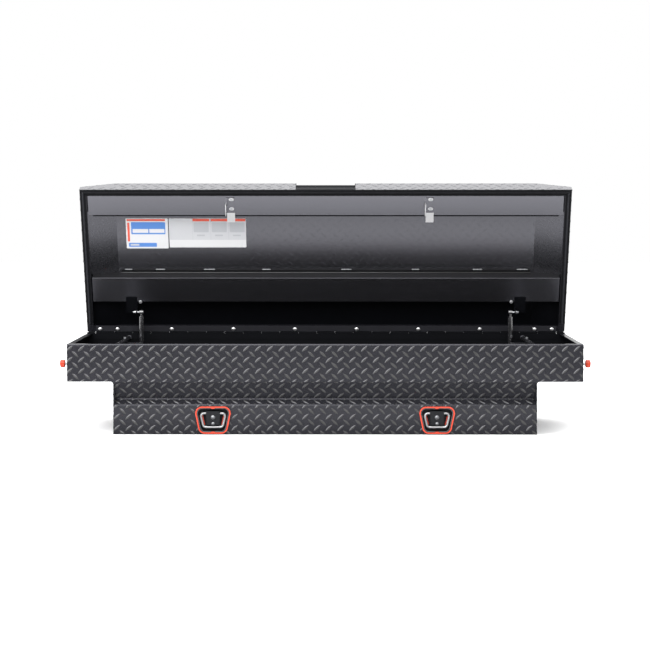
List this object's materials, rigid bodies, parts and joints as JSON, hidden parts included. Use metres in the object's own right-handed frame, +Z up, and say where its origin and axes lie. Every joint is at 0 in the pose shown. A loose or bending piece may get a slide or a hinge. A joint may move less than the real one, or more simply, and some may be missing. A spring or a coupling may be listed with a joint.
{
  "type": "truck tool box",
  "caption": "Crossover pickup tool box in black tread plate, with wings that rest on the bed rails, a hinged lid on gas struts, push-knob latches and folding ring tie-downs.",
  "frame": {"origin": "middle of the well floor's underside", "axes": "+X right as seen from the tailgate, +Y towards the cab, +Z up"},
  "size_m": [1.885, 0.6468, 0.8864],
  "materials": {
    "tread_coat": "semi-gloss black powder coat on aluminium tread plate",
    "inner_coat": "semi-gloss black powder coat on plain sheet",
    "zinc": "bright zinc plate",
    "rod_chrome": "polished",
    "tube_black": "gloss black",
    "signal_red": "satin red-orange",
    "moulded_black": "fine moulded grain",
    "seal_rubber": "matt"
  },
  "bodies": {
    "body": {"front_panel": "tread_coat", "rear_panel": "tread_coat", "well_floor": "inner_coat", "left_end_wall": "tread_coat", "right_end_wall": "tread_coat", "left_wing_floor": "inner_coat", "right_wing_floor": "inner_coat", "left_well_wall": "tread_coat", "right_well_wall": "tread_coat", "hinge_body_leaf": "inner_coat", "hinge_pin": "zinc", "left_strut_anchor": "inner_coat", "right_strut_anchor": "inner_coat", "left_latch_bracket": "inner_coat", "right_latch_bracket": "inner_coat", "left_latch_pin": "zinc", "right_latch_pin": "zinc", "knob_bushings": "zinc", "left_tie_frame": "signal_red", "right_tie_frame": "signal_red", "left_tie_cup": "moulded_black", "right_tie_cup": "moulded_black", "left_ring_retainer": "moulded_black", "right_ring_retainer": "moulded_black", "tie_bolts": "zinc", "left_brace": "inner_coat", "right_brace": "inner_coat", "brace_tabs": "inner_coat", "brace_bolts": "zinc"},
    "lid": {"lid_top": "tread_coat", "lid_front_skirt": "tread_coat", "lid_front_flange": "tread_coat", "lid_rear_skirt": "tread_coat", "lid_left_skirt": "tread_coat", "lid_right_skirt": "tread_coat", "lid_front_channel": "inner_coat", "lid_rear_channel": "inner_coat", "lid_pull": "moulded_black", "lid_seal": "seal_rubber", "hinge_lid_leaf": "inner_coat", "hinge_bolts": "zinc", "left_strut_bracket": "inner_coat", "right_strut_bracket": "inner_coat", "left_striker": "zinc", "right_striker": "zinc", "striker_bolts": "zinc"},
    "left_rod": {"left_strut_rod": "rod_chrome"},
    "left_tube": {"left_strut_tube": "tube_black"},
    "left_button": {"left_push_rod": "zinc", "left_push_knob": "signal_red"},
    "left_hook": {"left_latch_hook": "zinc"},
    "left_ring": {"left_tie_ring": "zinc"},
    "right_rod": {"right_strut_rod": "rod_chrome"},
    "right_tube": {"right_strut_tube": "tube_black"},
    "right_button": {"right_push_rod": "zinc", "right_push_knob": "signal_red"},
    "right_hook": {"right_latch_hook": "zinc"},
    "right_ring": {"right_tie_ring": "zinc"}
  },
  "joints": [
    {"name": "lid_hinge", "type": "hinge", "parent": "body", "child": "lid", "pos_m": [0, 0.291, 0.323], "axis": [1, 0, 0], "range_deg": [0, 68], "stiffness_Nm_per_rad": 8, "springref_deg": -157.56},
    {"name": "left_strut_swing", "type": "hinge", "parent": "body", "child": "left_rod", "pos_m": [-0.696, 0.245, 0.116], "axis": [1, 0, 0], "range_deg": [-0.5, 13.35]},
    {"name": "left_strut_slide", "type": "slide", "parent": "left_rod", "child": "left_tube", "axis": [0, -0.027, 0.9996], "range_m": [-0.09421, 0.0005]},
    {"name": "left_button_push", "type": "slide", "parent": "body", "child": "left_button", "axis": [1, 0, 0], "range_m": [0, 0.009], "stiffness_N_per_m": 600, "springref_m": -0.006},
    {"name": "left_hook_turn", "type": "hinge", "parent": "body", "child": "left_hook", "pos_m": [-0.3835, -0.2195, 0.28], "axis": [0, -1, 0], "range_deg": [-0.5, 15.23]},
    {"name": "left_ring_swing", "type": "hinge", "parent": "body", "child": "left_ring", "pos_m": [-0.3945, -0.284, 0.0742], "axis": [-1, 0, 0], "range_deg": [0, 110]},
    {"name": "right_strut_swing", "type": "hinge", "parent": "body", "child": "right_rod", "pos_m": [0.696, 0.245, 0.116], "axis": [1, 0, 0], "range_deg": [-0.5, 13.35]},
    {"name": "right_strut_slide", "type": "slide", "parent": "right_rod", "child": "right_tube", "axis": [0, -0.027, 0.9996], "range_m": [-0.09421, 0.0005]},
    {"name": "right_button_push", "type": "slide", "parent": "body", "child": "right_button", "axis": [-1, 0, 0], "range_m": [0, 0.009], "stiffness_N_per_m": 600, "springref_m": -0.006},
    {"name": "right_hook_turn", "type": "hinge", "parent": "body", "child": "right_hook", "pos_m": [0.3835, -0.2195, 0.28], "axis": [0, 1, 0], "range_deg": [-0.5, 15.23]},
    {"name": "right_ring_swing", "type": "hinge", "parent": "body", "child": "right_ring", "pos_m": [0.3945, -0.284, 0.0742], "axis": [-1, 0, 0], "range_deg": [0, 110]}
  ],
  "couplings": [
    {"joint": "left_strut_swing", "follows": "lid_hinge", "ratio": 0.18891},
    {"joint": "left_strut_slide", "follows": "lid_hinge", "m_per_rad": -0.078955},
    {"joint": "left_hook_turn", "follows": "left_button_push", "rad_per_m": 28.571},
    {"joint": "right_strut_swing", "follows": "lid_hinge", "ratio": 0.18891},
    {"joint": "right_strut_slide", "follows": "lid_hinge", "m_per_rad": -0.078955},
    {"joint": "right_hook_turn", "follows": "right_button_push", "rad_per_m": 28.571}
  ]
}
